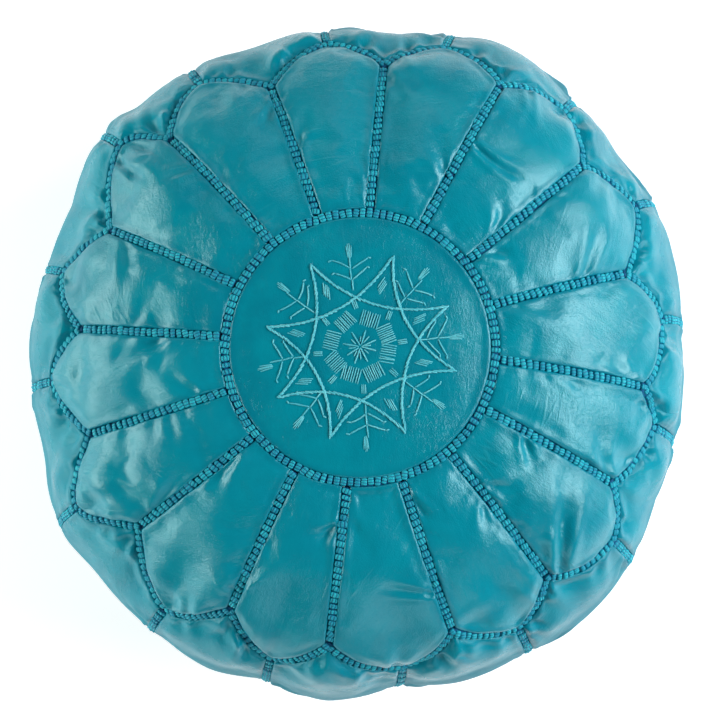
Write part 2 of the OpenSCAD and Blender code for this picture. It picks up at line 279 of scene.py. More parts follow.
class Nodes:
    """One material's node tree, built with short calls."""

    def __init__(self, name):
        self.material = bpy.data.materials.new(name)
        self.material.use_nodes = True
        self.tree = self.material.node_tree
        self.tree.nodes.clear()
        self.shader = self.add("ShaderNodeBsdfPrincipled")
        self.add("ShaderNodeOutputMaterial", {"Surface": self.shader.outputs["BSDF"]})

    def add(self, kind, inputs=None, **settings):
        node = self.tree.nodes.new(kind)
        for key, value in settings.items():
            setattr(node, key, value)
        self.join(node, inputs or {})
        return node

    def join(self, node, inputs):
        """Links a node's inputs to sockets, and sets those that are given plain values."""
        for key, value in inputs.items():
            if hasattr(value, "links"):
                self.tree.links.new(value, node.inputs[key])
            else:
                node.inputs[key].default_value = value

    def attribute(self, name):
        return self.add("ShaderNodeAttribute", attribute_name=name).outputs["Fac"]

    def position(self):
        return self.add("ShaderNodeTexCoord").outputs["Object"]

    def cut(self):
        """Places on the flat panel, as it was cut."""
        return self.add("ShaderNodeUVMap", uv_map="cut").outputs["UV"]

    def stretched(self, vector, scale, turn=0.0):
        inputs = {"Vector": vector, "Scale": scale, "Rotation": (0, 0, turn)}
        return self.add("ShaderNodeMapping", inputs).outputs["Vector"]

    def noise(self, vector, scale, detail, roughness, distortion=0.0):
        inputs = {"Vector": vector, "Scale": scale, "Detail": detail, "Roughness": roughness,
                  "Distortion": distortion}
        return self.add("ShaderNodeTexNoise", inputs).outputs["Fac"]

    def cells(self, vector, scale, feature):
        inputs = {"Vector": vector, "Scale": scale}
        return self.add("ShaderNodeTexVoronoi", inputs, feature=feature).outputs["Distance"]

    def maths(self, operation, a, b):
        return self.add("ShaderNodeMath", {0: a, 1: b}, operation=operation).outputs[0]

    def remap(self, value, low, high, to_low=0.0, to_high=1.0):
        inputs = {"Value": value, "From Min": low, "From Max": high, "To Min": to_low, "To Max": to_high}
        node = self.add("ShaderNodeMapRange", inputs, clamp=True, interpolation_type="SMOOTHSTEP")
        return node.outputs["Result"]

    def mix(self, factor, a, b):
        """A mix of two colours, each a socket or a screen colour."""
        a, b = (colour(*c) if isinstance(c, tuple) else c for c in (a, b))
        # A colour mix takes its factor at input 0 and its colours at 6 and 7
        return self.add("ShaderNodeMix", {0: factor, 6: a, 7: b}, data_type="RGBA").outputs[2]

    def bump(self, height, distance, strength, under=None):
        inputs = {"Height": height, "Distance": distance, "Strength": strength}
        if under is not None:
            inputs["Normal"] = under
        return self.add("ShaderNodeBump", inputs).outputs["Normal"]

    def finish(self, **values):
        """Sets the shader's inputs, and gives the material."""
        self.join(self.shader, {key.replace("_", " "): value for key, value in values.items()})
        return self.material


def leather_look(name, shine):
    """Dyed goat leather. shine is its specular level: the sides are less polished than the top."""
    n = Nodes(name)
    cut = n.cut()
    edge = n.attribute("seam_distance")
    # Leather tone: soft dye patches, a slightly different dip for each panel, and painted shade low on the
    # sides
    clouds = n.noise(cut, 20, 4, 0.6, 0.8)
    patches = n.noise(cut, 75, 5, 0.62, 0.4)
    leather_tone = n.mix(n.remap(clouds, 0.3, 0.72), (0, 132, 154), (0, 146, 166))
    leather_tone = n.mix(n.remap(patches, 0.5, 0.85, 0, 0.4), leather_tone, (0, 158, 178))
    leather_tone = n.mix(n.remap(n.attribute("tint"), -1, 1, 0.0, 0.45), leather_tone, (4, 152, 174))
    # Painted shade: the leather is darker low on the sides, and the same mask makes it more matte there
    height = n.add("ShaderNodeSeparateXYZ", {"Vector": n.position()}).outputs["Z"]
    low_shade_and_matte = n.remap(height, 250 * MM, 195 * MM)
    leather_tone = n.mix(n.maths("MULTIPLY", low_shade_and_matte, 0.30), leather_tone, (0, 100, 122))
    # Fine creases, drawn out one way on each panel
    creases = n.cells(n.stretched(cut, (1.0, 0.22, 1.0), 0.6), 95, "DISTANCE_TO_EDGE")
    crease_mask = n.remap(n.noise(cut, 16, 3, 0.6), 0.54, 0.70)
    crease_lines = n.maths("MULTIPLY", n.remap(creases, 0.0, 0.10, 1.0, 0.0), crease_mask)
    leather_tone = n.mix(n.maths("MULTIPLY", crease_lines, 0.16), leather_tone, (60, 176, 190))
    # The leather is darkest in the seams' grooves, partly dye pooled there and partly painted shade for the
    # groove, and painted shade darkens a band beside them
    leather_tone = n.mix(n.remap(edge, 2.2 * MM, 3.6 * MM, 0.85, 0.0), leather_tone, (0, 62, 92))
    leather_tone = n.mix(n.remap(edge, 3.8 * MM, 11 * MM, 0.24, 0.0), leather_tone, (0, 96, 122))
    roughness = n.remap(n.noise(cut, 45, 4, 0.6), 0.3, 0.75, 0.17, 0.27)
    roughness = n.maths("ADD", roughness, n.maths("MULTIPLY", low_shade_and_matte, 0.34))
    # Relief: pores, grain, a drawn-out crinkle, soft folds and the creases
    pulled = n.noise(n.stretched(cut, (1.0, 0.48, 1.0), 0.5), 330, 4, 0.62, 1.8)
    pull_mask = n.remap(n.noise(cut, 14, 3, 0.6), 0.40, 0.62, 0.25, 1.0)
    folds = n.noise(n.stretched(cut, (1.0, 0.28, 1.0), 0.5), 60, 5, 0.62, 0.6)
    relief = n.bump(n.cells(cut, 1100, "F1"), 0.12 * MM, 0.4)
    relief = n.bump(n.noise(cut, 700, 3, 0.6), 0.28 * MM, 0.65, relief)
    relief = n.bump(n.maths("MULTIPLY", pulled, pull_mask), 0.65 * MM, 0.6, relief)
    relief = n.bump(folds, 1.6 * MM, 0.4, relief)
    relief = n.bump(crease_lines, 0.22 * MM, 0.7, relief)
    return n.finish(Base_Color=leather_tone, Roughness=roughness, Normal=relief, Specular_IOR_Level=shine,
                    Specular_Tint=(0.66, 0.95, 0.97, 1.0))


def thread_look(name, dark, mid, bright, roughness, sheen):
    """Twisted thread. A vertex's tint says which bead or stitch it is on, and its crest how high; low places
    get painted shade.
    """
    n = Nodes(name)
    fibres = n.noise(n.position(), 2600, 3, 0.7)
    tone = n.mix(n.remap(n.attribute("tint"), -1, 1, 0.1, 0.9), mid, bright)
    # Painted shade: the thread is darker where its crest is low, on its sides and underneath
    tone = n.mix(n.remap(n.attribute("crest"), 0.05, 0.7, 0.92, 0.0), tone, dark)
    tone = n.mix(n.remap(fibres, 0.35, 0.7, 0.30, 0.0), tone, dark)
    return n.finish(Base_Color=tone, Roughness=roughness, Normal=n.bump(fibres, 0.25 * MM, 0.8),
                    Specular_IOR_Level=0.3, Sheen_Weight=sheen, Sheen_Roughness=0.4)


def cloth_look(name, light, shadow, threads):
    """Plain woven cloth, as over-and-under bumps at so many threads a metre."""
    n = Nodes(name)
    place = n.position()
    # A wave of scale 1 turns through 20 radians in a metre
    wave = {"Vector": place, "Scale": threads * 2 * math.pi / 20}
    warp, weft = (n.add("ShaderNodeTexWave", wave, wave_type="BANDS", bands_direction=way).outputs["Fac"]
                  for way in "XY")
    weave = n.maths("MULTIPLY", warp, weft)
    slubs = n.noise(place, 140, 4, 0.6)
    tone = n.mix(n.remap(slubs, 0.35, 0.7), light, shadow)
    tone = n.mix(n.remap(weave, 0.0, 0.5, 0.4, 0.0), tone, shadow)
    return n.finish(Base_Color=tone, Roughness=0.85, Normal=n.bump(weave, 0.25 * MM, 0.8), Sheen_Weight=0.2)


def brass_look():
    n = Nodes("worn_brass")
    place = n.position()
    wear = n.noise(place, 220, 5, 0.65)
    scratches = n.noise(n.stretched(place, (1, 12, 1)), 900, 3, 0.6)
    tone = n.mix(n.remap(wear, 0.35, 0.7), (196, 158, 92), (150, 112, 58))
    return n.finish(Base_Color=tone, Roughness=n.remap(scratches, 0.3, 0.7, 0.24, 0.46),
                    Normal=n.bump(scratches, 0.05 * MM, 0.5), Metallic=1.0)


def floor_look():
    n = Nodes("pale_floor")
    shade = n.noise(n.position(), 1.5, 2, 0.5)
    tone = n.mix(n.remap(shade, 0.3, 0.7), (250, 250, 250), (254, 254, 254))
    return n.finish(Base_Color=tone, Roughness=0.9, Emission_Color=tone, Emission_Strength=0.46,
                    Specular_IOR_Level=0.0)


LEATHER_LOOK = leather_look("dyed_goat_leather", 0.62)
SIDE_LOOK = leather_look("side_goat_leather", 0.26)
# A thread look's first colour is mostly painted shade: it darkens the thread where its crest is low
SEAM_LOOK = thread_look("seam_thread", (0, 96, 142), (0, 158, 184), (30, 200, 214), 0.55, 0.0)
# The seam core's dark colours are painted shade in the gaps between the beads
SHADED_CORE_LOOK = thread_look("seam_core_painted_shade", (0, 76, 122), (0, 90, 138), (0, 104, 148), 0.7, 0.0)
EMBROIDERY_LOOK = thread_look("embroidery_thread", (4, 128, 156), (82, 210, 226), (122, 232, 242), 0.45, 0.2)
TAPE_LOOK = cloth_look("zip_tape_weave", (6, 112, 130), (2, 78, 96), 1600)
COTTON_LOOK = cloth_look("liner_cotton", (228, 220, 200), (196, 186, 164), 900)
WADDING_LOOK = cloth_look("stuffing", (232, 228, 216), (204, 198, 184), 300)
BRASS_LOOK = brass_look()

# ---------------------------------------------------------------- the stuffed skin

HALF_COLUMNS = 12
PANEL_COLUMNS = 2 * HALF_COLUMNS
COLUMNS = PETALS * PANEL_COLUMNS
PETAL_ROWS = 32
SIDE_ROWS = 66
BASE_ROW = PETAL_ROWS + SIDE_ROWS
SEAM_DEPTH = 1.2 * MM
# How far the cloth may swell out of the bare skin, and sink into it
PUFF_OUT = 11 * MM
PUFF_IN = 3 * MM
# The bare skin is fuller than the CAD's body by this much
BODY_FULLER = 4.6 * MM
# The body is longer along Y than along X, and so is the ring that the petals' tips lie on
BODY_OVAL = 3 * MM
EDGE_OVAL = 2.5 * MM
# How far hand work strays: the scalloped edge, the body, and the joints at the ring, the edge and the base
EDGE_WANDER = 2.4 * MM
BODY_WANDER = 4.0 * MM
JOINT_WANDER = [math.radians(angle) for angle in (0.6, 1.1, 1.5)]
# Lumps of the filling: their width, seed and height
LUMPS = ((125 * MM, 12, 7 * MM), (60 * MM, 13, 3.5 * MM))
DEEPEST_HOLLOW = 3 * MM
# The lumps and the fullness die out over this far above the base
HEEL_EASE = 60 * MM
# How much of the cloth's movement along the skin is kept
SLIP = 0.6
SIMULATION_FRAMES = 26
# The cut is 3 % larger than the body, so it puckers at the seams
CLOTH_SETTINGS = {
    "quality": 5, "mass": 0.35, "tension_stiffness": 40, "compression_stiffness": 40, "shear_stiffness": 20,
    "bending_stiffness": 12, "tension_damping": 12, "compression_damping": 12, "air_damping": 4,
    "vertex_group_mass": "sewn", "pin_stiffness": 1, "shrink_min": -0.03, "shrink_max": -0.03,
    "use_pressure": True, "uniform_pressure_force": 20,
}


def spread_round(values):
    """Spreads one value for each half panel smoothly over the columns."""
    return sample(values.reshape(1, -1, 1), np.zeros(COLUMNS), np.arange(COLUMNS) / HALF_COLUMNS)[:, 0]


def hand_wander(amount):
    """How far hand work strays at each column: random at every joint, and smooth between."""
    return spread_round(RANDOM.normal(0, amount, 2 * PETALS).clip(-2 * amount, 2 * amount))


def bare_skin():
    """The petals and side panels before stuffing: lengths, angles, points, normals, and what is sewn."""
    t = np.arange(COLUMNS) / PANEL_COLUMNS
    true_angle = FIRST_JOINT + t * SECTOR
    edge = scallop_length(t) + hand_wander(EDGE_WANDER) - EDGE_OVAL * np.cos(2 * true_angle)
    at_ring, at_edge, at_base = (hand_wander(amount) for amount in JOINT_WANDER)
    upper = np.linspace(0, 1, PETAL_ROWS + 1)[:, None]
    lower = np.linspace(0, 1, SIDE_ROWS + 1)[1:, None]
    s = np.concatenate([S_RING + (edge - S_RING) * upper, edge + (S_BASE - edge) * lower])
    turn = np.concatenate([at_ring + (at_edge - at_ring) * upper, at_edge + (at_base - at_edge) * lower])
    angle = true_angle + turn
    sewn = np.zeros(s.shape, bool)
    sewn[[0, PETAL_ROWS, BASE_ROW]] = True
    sewn[:PETAL_ROWS + 1, t % 1 == 0] = True
    sewn[PETAL_ROWS:, t % 1 == 0.5] = True
    points, normals = skin_point(s, angle), skin_normal(s, angle)
    out = BODY_FULLER - BODY_OVAL * np.cos(2 * angle) + hand_wander(BODY_WANDER)
    for width, seed, height in LUMPS:
        out = out + lattice_noise(points, width, seed) * height
    out = out * (smooth(S_RING, S_VALLEY, s) * smooth(S_BASE, S_BASE - HEEL_EASE, s))
    return s, angle, points + normals * np.maximum(out, -DEEPEST_HOLLOW)[..., None], normals, sewn


def stuffed_by_cloth(points, sewn):
    """Blows the skin up with Blender's cloth, held where it is sewn."""
    piece = make_object("skin_simulation", points, grid_faces(*sewn.shape, wrap=True), [])
    pins = piece.vertex_groups.new(name="sewn")
    pins.add(np.flatnonzero(sewn.ravel()).tolist(), 1.0, "REPLACE")
    cloth = piece.modifiers.new("cloth", "CLOTH")
    for key, value in CLOTH_SETTINGS.items():
        setattr(cloth.settings, key, value)
    cloth.settings.effector_weights.gravity = 0
    cloth.collision_settings.use_collision = False
    scene = bpy.context.scene
    scene.frame_start, scene.frame_end = 1, SIMULATION_FRAMES
    for number in range(1, SIMULATION_FRAMES + 1):
        scene.frame_set(number)
    shaped = piece.evaluated_get(bpy.context.evaluated_depsgraph_get())
    result = np.zeros(points.size, np.float32)
    shaped.data.vertices.foreach_get("co", result)
    scene.frame_set(1)
    bpy.data.objects.remove(piece)
    return result.reshape(points.shape).astype(float)


def eased(out, sewn, share=0.6, passes=10):
    """Mixes how far the skin stands out with a smoothed copy, to ease the folds. Sewn points stay."""
    calm = out.copy()
    for _ in range(passes):
        above, below = np.roll(calm, 1, 0), np.roll(calm, -1, 0)
        around = (np.roll(calm, 1, 1) + np.roll(calm, -1, 1) + above + below) / 4
        calm = np.where(sewn, out, (calm + around) / 2)
    return out + (calm - out) * share


def fullness(s):
    """How much of the swelling each panel keeps: most in the petals, less down the sides, uneven by hand."""
    uneven = spread_round(RANDOM.uniform(0.75, 1.2, 2 * PETALS))
    return uneven * (0.45 + 0.45 * smooth(S_TIP + 55 * MM, S_TIP + 15 * MM, s))


def stuffed_skin():
    s, angle, points, normals, sewn = bare_skin()
    points = points - SEAM_DEPTH * normals
    # A little unevenness, or the cloth would buckle the same way everywhere
    jitter = lattice_noise(points, 14 * MM, 3) * 0.5 * MM * ~sewn
    move = stuffed_by_cloth(points + normals * jitter[..., None], sewn) - points
    out = (move * normals).sum(-1)
    along = move - normals * out[..., None]
    out = eased(np.clip(out, -PUFF_IN, PUFF_OUT), sewn) * fullness(s)
    return points + along * SLIP + normals * out[..., None]


SKIN = stuffed_skin()
# No part of it goes down to the floor
SKIN[..., 2] = np.maximum(SKIN[..., 2], 0.6 * MM)

# ---------------------------------------------------------------- leather panels

# Distances from a panel's edge where its mesh has lines, to shape the turned-in edge
EDGE_LINES_MM = np.array([0.35, 1.6, 2.5, 2.9, 3.2, 3.55, 3.95, 4.4, 5.1, 6.2, 8.0])
GROOVE_DEPTH = 1.8 * MM
GROOVE_HALF_W = 2.7 * MM
EDGE_ROLL = 1.5 * MM
EDGE_CREST = 0.6 * MM
EDGE_CREST_W = 2.2 * MM
# Heights and widths of the puckers at a seam, of the bumps all over, and of the dents where leather is slack
PUCKERS = (0.34 * MM, 7 * MM)
BUMPS = (0.18 * MM, 13 * MM)
DENTS = (1.7 * MM, 38 * MM)
# Deeper dents start at the scalloped seam, and fade out over this far
SCALLOP_DENT_W = 36 * MM
SCALLOP_DENT_REACH = 32 * MM


def lines_across(width, count):
    """Fractions across a width: close together at both edges, then even. width may be an array."""
    width = np.asarray(width)[..., None]
    near = EDGE_LINES_MM * MM / width
    middle = np.linspace(0, 1, count + 2)[1:-1]
    between = near[..., -1:] + (1 - 2 * near[..., -1:]) * middle
    return np.concatenate([near, between, 1 - near[..., ::-1]], -1)


def distance_to_points(points, line):
    """The distance from each point to the nearest point of a dense line, taken a chunk at a time."""
    flat, chunk = points.reshape(-1, 3), 64
    best = np.full(len(flat), np.inf)
    for start in range(0, len(line), chunk):
        gap = np.linalg.norm(flat[:, None] - line[None, start:start + chunk], axis=-1)
        best = np.minimum(best, gap.min(1))
    return best.reshape(points.shape[:-1])


def groove(distance):
    """How far the leather dips near a seam: it turns in over a rounded edge, which stands a little proud."""
    x = np.clip((distance - GROOVE_HALF_W) / EDGE_ROLL, 0, 1)
    crest = bell(distance - GROOVE_HALF_W - EDGE_ROLL - 1.0 * MM, EDGE_CREST_W)
    return -GROOVE_DEPTH * (1 - np.sqrt(1 - (1 - x) ** 2)) + EDGE_CREST * crest


def seam_puckers(points, distance, seed, slack=1.0):
    """Short folds drawn in by the stitches, and soft dents where the leather is slack."""
    edge = np.exp(-np.maximum(distance - 6 * MM, 0) / (9 * MM)) * smooth(4 * MM, 7 * MM, distance)
    inside = smooth(4 * MM, 12 * MM, distance)
    return (PUCKERS[0] * lattice_noise(points, PUCKERS[1], seed) * edge
            + BUMPS[0] * lattice_noise(points, BUMPS[1], seed + 1) * slack
            + DENTS[0] * lattice_noise(points, DENTS[1], seed + 5) * inside * slack)


def drawn_folds(points, distance, seed, count, gathered, depth):
    """Folds that start at a seam and die out inside the panel. Most start at the row gathered (0 or 1)."""
    rng = np.random.default_rng(seed)
    rows, cols = points.shape[:2]
    rise = np.zeros((rows, cols))
    for k in range(count):
        row, col = rng.uniform(0.12, 0.95), rng.uniform(0.15, 0.85)
        row, col = [(gathered, col), (row, 0.04), (gathered, col), (row, 0.96)][k % 4]
        begin = points[int(row * (rows - 1)), int(col * (cols - 1))]
        middle = points[int(rng.uniform(0.3, 0.7) * rows), int(rng.uniform(0.35, 0.65) * cols)]
        longer, wider = (1.7, 1.9) if k == 0 else (1, 1)
        share = np.linspace(0, 1, 40)[:, None]
        reach = rng.uniform(22, 55) * MM * longer / float(np.linalg.norm(middle - begin))
        bend = unit(np.cross(middle - begin, begin - [0, 0, BELLY_Z]))
        bend = bend * rng.normal(0, 3) * MM * np.sin(share * math.pi)
        line = begin + (middle - begin) * share * reach + bend
        gap = np.linalg.norm(points[..., None, :] - line, axis=-1)
        along = gap.argmin(-1) / (len(line) - 1)
        aside = gap.min(-1) / (rng.uniform(2.0, 4.0) * MM * (1 + along) * wider)
        fade = smooth(1.0, 0.35, along) * smooth(3.5 * MM, 7 * MM, distance)
        # A valley with a soft ridge on each side
        section = 0.7 * bell(aside - 1.9, 1.1) - bell(aside, 1)
        rise += rng.uniform(0.35, 1.0) * depth * fade * section
    return rise


def path_lengths(points, axis):
    """How far each point of a grid lies along its row (axis 1) or down its column (axis 0)."""
    first = np.take(points, [0], axis)
    return np.cumsum(np.linalg.norm(np.diff(points, axis=axis, prepend=first), axis=-1), axis)


def skin_panel(name, surface, edge, seed, folds, gathered, dents, look):
    """One panel of leather on a grid of the stuffed skin, with its edges turned in along the line edge."""
    normals = grid_normals(surface)
    distance = distance_to_points(surface, edge)
    rise = groove(distance) + seam_puckers(surface, distance, seed)
    rise = rise + drawn_folds(surface, distance, seed + 300, folds, gathered, 2 * MM + 0.15 * dents)
    down, aside = path_lengths(surface, 0), path_lengths(surface, 1)
    from_scallop = down if gathered < 0.5 else down[-1:] - down
    rise = rise + (dents * lattice_noise(surface, SCALLOP_DENT_W, seed + 9)
                   * np.exp(-from_scallop / SCALLOP_DENT_REACH) * smooth(4 * MM, 14 * MM, distance))
    outer = surface + normals * rise[..., None]
    outer[..., 2] = np.maximum(outer[..., 2], 0.4 * MM)
    # Every panel is cut from its own place on the hide, and turned its own way
    turn = RANDOM.uniform(0, 2 * math.pi)
    shift = RANDOM.uniform(0, 3, 2)
    uv = turned_plan(np.stack([aside - aside[:, -1:] / 2, down], -1), turn) + shift
    return leather_sheet(name, outer, outer - normals * LEATHER, distance, RANDOM.uniform(-1, 1), uv, look)


def panel_grid(first_column, first_row, rows, lines, top, bottom, length, length_at, edge_points):
    """A panel's surface and the line round its edge. top and bottom are its s, and length_at gives its
    length at fractions across it."""
    down = lines_across(length, lines[0])
    width = np.interp(top + down * (bottom - top), LENGTHS, RADII) * SECTOR
    across = lines_across(width, lines[1])
    line = np.arange(len(down))[:, None, None]
    share = np.take_along_axis(lines_across(length_at(across), lines[0]), line, 2)[..., 0]
    surface = sample(SKIN, first_row + share * rows, first_column + across * PANEL_COLUMNS)
    steps, flat = np.linspace(0, 1, edge_points), np.zeros(edge_points)
    edge_row = first_row + rows * np.concatenate([flat, flat + 1, steps, steps])
    edge_column = first_column + PANEL_COLUMNS * np.concatenate([steps, steps, flat, flat + 1])
    return surface, sample(SKIN, edge_row, edge_column)


def petal_piece(index):
    surface, edge = panel_grid(index * PANEL_COLUMNS, 0, PETAL_ROWS, lines=(80, 42), top=S_RING, bottom=S_TIP,
                               length=(S_VALLEY + S_TIP) / 2 - S_RING,
                               length_at=lambda t: scallop_length(t) - S_RING, edge_points=240)
    return skin_panel(f"{petal_names[index]}_leather", surface, edge, seed=40 + index, folds=4, gathered=0.98,
                      dents=1.8 * MM, look=LEATHER_LOOK)


def side_piece(index):
    surface, edge = panel_grid(index * PANEL_COLUMNS - HALF_COLUMNS, PETAL_ROWS, SIDE_ROWS, lines=(130, 46),
                               top=S_VALLEY, bottom=S_BASE, length=S_BASE - (S_VALLEY + S_TIP) / 2,
                               length_at=lambda t: S_BASE - scallop_length(t - 0.5), edge_points=320)
    return skin_panel(f"{side_names[index]}_leather", surface, edge, seed=80 + index, folds=10, gathered=0.02,
                      dents=8 * MM, look=SIDE_LOOK)


MEDALLION_COLUMNS = 240
MEDALLION_LINES = np.concatenate([np.linspace(1 * MM, S_RING - EDGE_LINES_MM[-1] * MM - 2 * MM, 56),
                                  S_RING - EDGE_LINES_MM[::-1] * MM])


def medallion_grid():
    """The round crown panel, a little fuller than the bare body: outer points, normals and seam distances."""
    angle = np.linspace(0, 2 * math.pi, MEDALLION_COLUMNS, endpoint=False)[None]
    s, angle = np.broadcast_arrays(MEDALLION_LINES[:, None], angle)
    distance = S_RING - s
    fuller = 1 * MM * (1 - (s / S_RING) ** 2) - SEAM_DEPTH * smooth(26 * MM, 0, distance)
    points = skin_point(s, angle, fuller)
    normals = skin_normal(s, angle)
    rise = groove(distance) + seam_puckers(points, distance, 31, 0.35)
    return points + normals * rise[..., None], normals, distance


MEDALLION_GRID, MEDALLION_NORMALS, MEDALLION_DISTANCE = medallion_grid()


def medallion_piece():
    rows, cols = MEDALLION_GRID.shape[:2]
    count = rows * cols
    faces = (grid_faces(rows, cols, wrap=True) + grid_faces(rows, cols, count, wrap=True, flip=True)
             + rim_faces((rows - 1) * cols + np.arange(cols)[::-1], count)
             + cap(0, cols, False) + cap(count, cols, True))
    inner = MEDALLION_GRID - MEDALLION_NORMALS * LEATHER
    return leather_sheet("medallion_leather", MEDALLION_GRID, inner, MEDALLION_DISTANCE, -0.8,
                         MEDALLION_GRID[..., :2] + 0.6, LEATHER_LOOK, faces)


def on_medallion(plan):
    """Points on the medallion's face, and the normals there, above plan points (x, y)."""
    radius, angle = np.hypot(plan[..., 0], plan[..., 1]), np.arctan2(plan[..., 1], plan[..., 0])
    row = np.interp(length_at_radius(radius), MEDALLION_LINES, np.arange(len(MEDALLION_LINES)))
    column = angle % (2 * math.pi) / (2 * math.pi) * MEDALLION_COLUMNS
    return sample(MEDALLION_GRID, row, column), unit(sample(MEDALLION_NORMALS, row, column))


# ---------------------------------------------------------------- hand-sewn seams

BEAD_PITCH = 5.0 * MM
BEAD_SIZE = np.array([4.4, 7.4, 3.3]) * MM
BEAD_STATIONS = 7
CORE_W = 6.2 * MM
CORE_H = 1.3 * MM
# How far a joint's seam stays clear of the seams at its top and its bottom
PETAL_JOINT_CLEAR = (4.2 * MM, 4.4 * MM)
SIDE_JOINT_CLEAR = (4.4 * MM, 4.6 * MM)


def bead_shape():
    """One bead of thread, in a unit box: three cords side by side, drawn in at both ends."""
    across = np.linspace(-0.5, 0.5, 13)
    body = (1 - np.abs(2 * across) ** 2.6).clip(0) ** (1 / 2.6)
    cords = np.abs(np.cos(3 * math.pi * across)) ** 0.7
    ring_y = np.concatenate([across, [0.35, 0.0, -0.35]])
    ring_z = np.concatenate([body * (0.74 + 0.26 * cords), [-0.1, -0.14, -0.1]])
    # The crest is low between the cords, at the bead's ends and under it, where the thread's look paints
    # shade
    ring_crest = np.concatenate([cords * body, [0, 0, 0]])
    along = np.sin(np.linspace(-1, 1, BEAD_STATIONS) * math.pi / 2) / 2
    draw = (1 - np.abs(2 * along) ** 4.5).clip(0) ** (1 / 2.6) * 0.5 + 0.5
    points = np.stack([np.repeat(along, len(ring_y)), np.outer(draw, ring_y).ravel(),
                       np.outer(draw ** 1.2, ring_z).ravel()], -1)
    return points, tube_faces(BEAD_STATIONS, len(ring_y)), np.outer(draw ** 2, ring_crest).ravel()


def place_shapes(shape, centre, along, up, sizes, turn):
    """Copies of one shape, each at a centre, its length along a direction and its top up."""
    points, faces, crest = shape
    along = unit(along)
    side, up = beside_line(along, up)
    c, s = np.cos(turn)[:, None], np.sin(turn)[:, None]
    along, side = along * c + side * s, side * c - along * s
    local = points[None] * sizes[:, None]
    placed = (centre[:, None] + local[..., 0:1] * along[:, None] + local[..., 1:2] * side[:, None]
              + local[..., 2:3] * up[:, None])
    placed_faces = [[v + k * len(points) for v in face] for k in range(len(centre)) for face in faces]
    return placed.reshape(-1, 3), placed_faces, np.tile(crest, len(centre))


def running_length(line):
    return np.concatenate([[0], np.cumsum(np.linalg.norm(np.diff(line, axis=0), axis=1))])


def even_points(line, ups, pitch, closed):
    """Points an even pitch apart along a line, with the direction and the up vector at each."""
    if closed:
        line, ups = np.concatenate([line, line[:1]]), np.concatenate([ups, ups[:1]])
    length = running_length(line)
    count = max(2, round(length[-1] / pitch))
    at = (np.arange(count) + 0.5) / count * length[-1]

    def on(values, where):
        return np.stack([np.interp(where, length, values[:, k]) for k in range(3)], -1)

    return on(line, at), on(line, at + 1 * MM) - on(line, at - 1 * MM), on(ups, at)


def core_strip(line, ups, closed):
    """The flat core under the beads: a low rounded strip along the line."""
    ring_y = np.array([-0.5, -0.38, -0.15, 0.15, 0.38, 0.5, 0.4, -0.4]) * CORE_W
    ring_z = np.array([0.1, 0.75, 1, 1, 0.75, 0.1, -0.6, -0.6]) * CORE_H
    ahead = np.roll(line, -1, 0) - np.roll(line, 1, 0) if closed else np.gradient(line, axis=0)
    side, up = beside_line(ahead, ups)
    points = line[:, None] + side[:, None] * ring_y[None, :, None] + up[:, None] * ring_z[None, :, None]
    n, sides = points.shape[:2]
    if not closed:
        return points.reshape(-1, 3), tube_faces(n, sides, flip=True)
    last = (n - 1) * sides
    join = [[last + (k + 1) % sides, (k + 1) % sides, k, last + k] for k in range(sides)]
    return points.reshape(-1, 3), grid_faces(n, sides, wrap=True, flip=True) + join


class ThreadWork:
    """Many small closed shapes, gathered into one piece."""

    def __init__(self):
        self.vertices, self.faces, self.crest, self.tint, self.look = [], [], [], [], []
        self.total = 0

    def keep(self, points, faces, crest, tint, look=0):
        self.vertices.append(points)
        self.faces.extend([[v + self.total for v in face] for face in faces])
        self.crest.append(np.broadcast_to(crest, len(points)))
        self.tint.append(np.broadcast_to(tint, len(points)))
        self.look.extend([look] * len(faces))
        self.total += len(points)

    def piece(self, name, looks):
        attributes = {"crest": np.concatenate(self.crest), "tint": np.concatenate(self.tint)}
        return make_object(name, np.concatenate(self.vertices), self.faces, looks, self.look, attributes)


def sewn_seam(name, lines, seed, pitch=BEAD_PITCH, size=BEAD_SIZE, sink=GROOVE_DEPTH, slant=4):
    """A hand-sewn seam along lines of (points, up vectors, closed): a core, coloured dark as painted shade
    between the beads, with a row of beads on it.
    Along each line the beads lean slant degrees to one side."""
    rng = np.random.default_rng(seed)
    shape = bead_shape()
    work = ThreadWork()
    for line, ups, closed in lines:
        ups = unit(ups)
        floor = line - ups * (sink - 0.2 * MM)
        work.keep(*core_strip(floor, ups, closed), crest=0.5, tint=0.0, look=1)
        centre, along, upward = even_points(floor, ups, pitch, closed)
        n = len(centre)
        sizes = size * rng.normal(1, 0.10, (n, 3)).clip(0.78, 1.25)
        side, _ = beside_line(along, upward)
        drift = 0.8 * MM * lattice_noise(centre, 24 * MM, seed) + rng.normal(0, 0.25 * MM, n)
        lean = math.radians(rng.choice([-slant, slant]))
        lean = rng.normal(lean, math.radians(7), n)
        beads = place_shapes(shape, centre + side * drift[:, None], along, upward, sizes, lean)
        work.keep(*beads, tint=np.repeat(rng.uniform(-1, 1, n), len(shape[0])))
    return work.piece(name, [SEAM_LOOK, SHADED_CORE_LOOK])


def skin_line(row, column, closed=False):
    """A line on the stuffed skin with its up vectors, at arrays of rows and columns."""
    below, above = np.minimum(row + 1.0, BASE_ROW), np.maximum(row - 1.0, 0)
    down = sample(SKIN, below, column) - sample(SKIN, above, column)
    aside = sample(SKIN, row, column + 1.0) - sample(SKIN, row, column - 1.0)
    return sample(SKIN, row, column), unit(np.cross(down, aside)), closed


def round_line(row, count):
    """One closed line round the skin, at a row."""
    return [skin_line(np.full(count, float(row)), np.linspace(0, COLUMNS, count, endpoint=False), True)]


